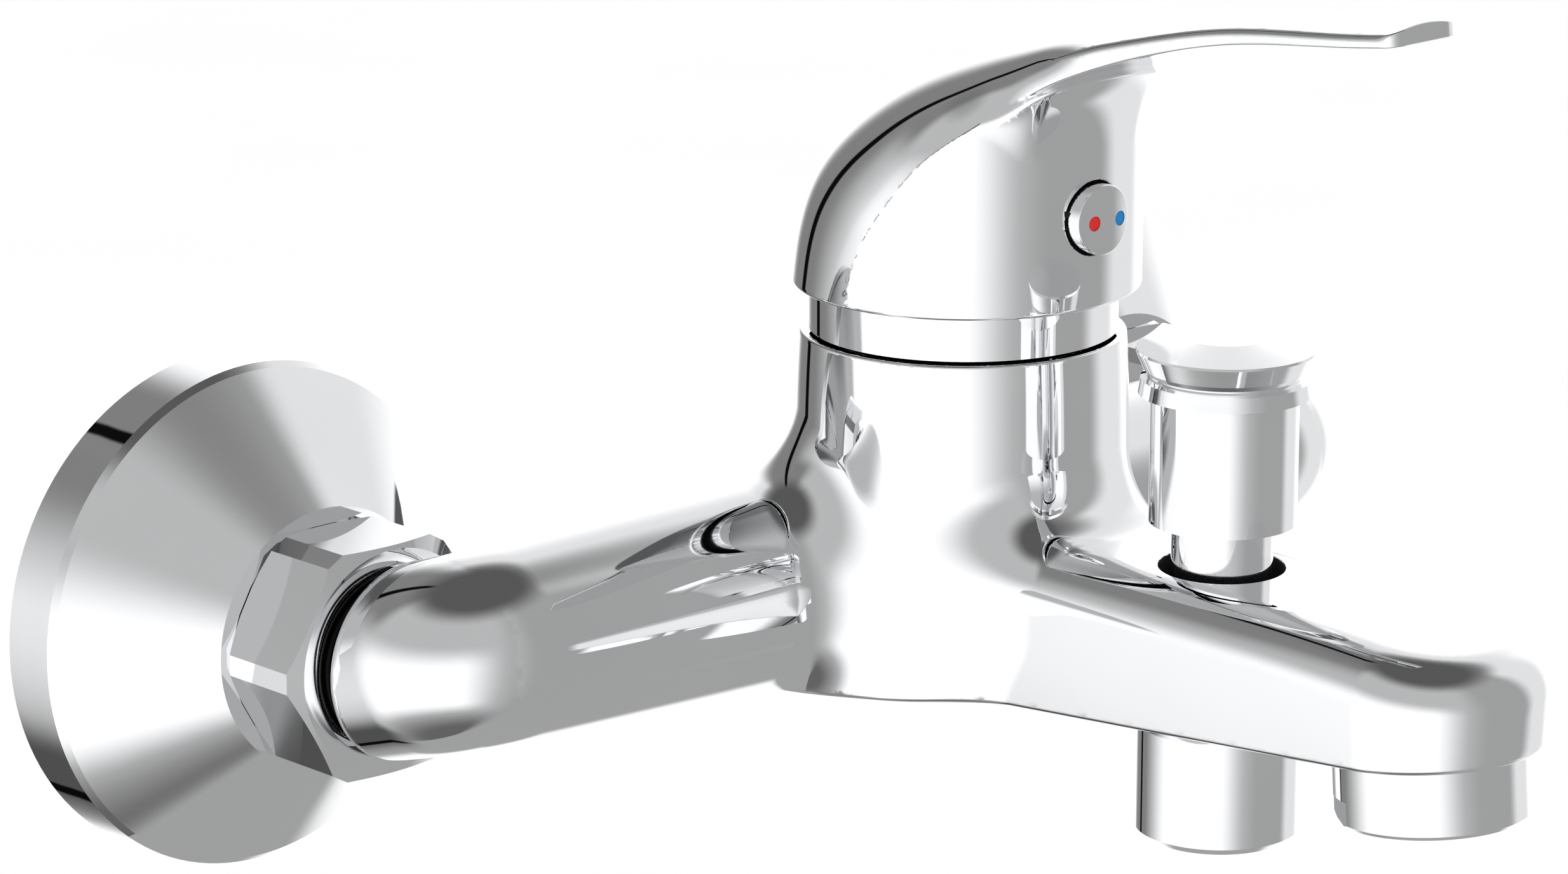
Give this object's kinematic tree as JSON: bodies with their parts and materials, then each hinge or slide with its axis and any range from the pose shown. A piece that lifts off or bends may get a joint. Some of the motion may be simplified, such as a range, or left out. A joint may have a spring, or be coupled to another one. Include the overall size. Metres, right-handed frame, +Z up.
{
  "type": "wall mounted bath faucet",
  "caption": "Single-lever wall bath faucet on eccentric unions with flanges, short fixed spout with aerator, pull-up diverter and shower outlet underneath",
  "frame": {"origin": "midway between the two inlets, on the wall plane (the flanges' back faces), at the height of the inlet axes", "axes": "+Z up; X along the wall through both inlets; +Y into the wall, so the spout and lever reach out toward -Y"},
  "size_m": [0.2178, 0.1735, 0.1215],
  "materials": {
    "body_casting": "mirror chrome plate over cast brass",
    "wall_flange": "mirror chrome plate over drawn brass sheet",
    "eccentric_union": "machined, unplated brass",
    "union_nut": "mirror chrome plate over brass",
    "union_seal": "moulded flat washer",
    "inlet_strainer": "perforated stainless sheet",
    "inlet_tail": "mirror chrome plate over brass",
    "cartridge_seals": "moulded",
    "cartridge_base": "moulded acetal",
    "fixed_ceramic_disc": "lapped alumina",
    "moving_ceramic_disc": "lapped alumina",
    "disc_carrier": "moulded acetal",
    "cartridge_housing": "moulded acetal",
    "cartridge_turret": "moulded acetal",
    "pivot_pin": "ground stainless",
    "cartridge_stem": "machined brass",
    "cartridge_lock_nut": "machined brass",
    "cover_sleeve": "mirror chrome plate over brass",
    "handle_lever": "mirror chrome plate over zinc casting",
    "handle_grub_screw": "stainless",
    "index_button": "chrome plated plug",
    "index_dot_red": "red enamel",
    "index_dot_blue": "blue enamel",
    "diverter_knob": "mirror chrome plate",
    "diverter_bonnet": "mirror chrome plate over brass",
    "diverter_stem": "turned brass",
    "diverter_spring": "stainless wire",
    "diverter_lower_washer": "moulded",
    "diverter_upper_washer": "moulded",
    "diverter_seat": "turned brass",
    "diverter_oring": "moulded",
    "shower_nipple": "mirror chrome plate over brass",
    "shower_check_valve": "moulded acetal",
    "shower_check_poppet": "moulded acetal",
    "aerator_housing": "mirror chrome plate over brass",
    "aerator_insert": "moulded",
    "aerator_screen": "perforated stainless sheet",
    "aerator_gasket": "moulded"
  },
  "bodies": {
    "faucet_body": {"body_casting": "body_casting", "wall_flange_left": "wall_flange", "wall_flange_right": "wall_flange", "eccentric_union_left": "eccentric_union", "eccentric_union_right": "eccentric_union", "union_nut_left": "union_nut", "union_nut_right": "union_nut", "union_seal_left": "union_seal", "union_seal_right": "union_seal", "inlet_strainer_left": "inlet_strainer", "inlet_strainer_right": "inlet_strainer", "inlet_tail_left": "inlet_tail", "inlet_tail_right": "inlet_tail", "cartridge_seals": "cartridge_seals", "cartridge_base": "cartridge_base", "fixed_ceramic_disc": "fixed_ceramic_disc", "cartridge_housing": "cartridge_housing", "cartridge_lock_nut": "cartridge_lock_nut", "cover_sleeve": "cover_sleeve", "diverter_bonnet": "diverter_bonnet", "diverter_spring": "diverter_spring", "diverter_seat": "diverter_seat", "diverter_oring": "diverter_oring", "shower_nipple": "shower_nipple", "shower_check_valve": "shower_check_valve", "aerator_housing": "aerator_housing", "aerator_insert": "aerator_insert", "aerator_screen": "aerator_screen", "aerator_gasket": "aerator_gasket"},
    "turret": {"cartridge_turret": "cartridge_turret", "pivot_pin": "pivot_pin"},
    "lever": {"handle_lever": "handle_lever", "cartridge_stem": "cartridge_stem", "handle_grub_screw": "handle_grub_screw", "index_button": "index_button", "index_dot_red": "index_dot_red", "index_dot_blue": "index_dot_blue"},
    "disc_slide": {"moving_ceramic_disc": "moving_ceramic_disc", "disc_carrier": "disc_carrier"},
    "diverter": {"diverter_knob": "diverter_knob", "diverter_stem": "diverter_stem", "diverter_lower_washer": "diverter_lower_washer", "diverter_upper_washer": "diverter_upper_washer"},
    "check_poppet": {"shower_check_poppet": "shower_check_poppet"}
  },
  "joints": [
    {"name": "temperature_turn", "type": "hinge", "parent": "faucet_body", "child": "turret", "pos_m": [0, -0.0635, 0.029], "axis": [0, 0, 1], "range_deg": [-50, 50]},
    {"name": "lever_lift", "type": "hinge", "parent": "turret", "child": "lever", "pos_m": [0, -0.0635, 0.029], "axis": [-1, 0, 0], "range_deg": [0, 25]},
    {"name": "disc_shift", "type": "slide", "parent": "turret", "child": "disc_slide", "axis": [0, -1, 0], "range_m": [0, 0.0049]},
    {"name": "diverter_pull", "type": "slide", "parent": "faucet_body", "child": "diverter", "axis": [0, 0, 1], "range_m": [0, 0.006], "stiffness_N_per_m": 200, "springref_m": -0.006, "deforming": ["diverter_spring"]},
    {"name": "check_poppet_slide", "type": "slide", "parent": "faucet_body", "child": "check_poppet", "axis": [0, 0, -1], "range_m": [0, 0.0014], "stiffness_N_per_m": 60, "springref_m": -0.002}
  ],
  "couplings": [
    {"joint": "disc_shift", "follows": "lever_lift", "m_per_rad": 0.01114}
  ]
}
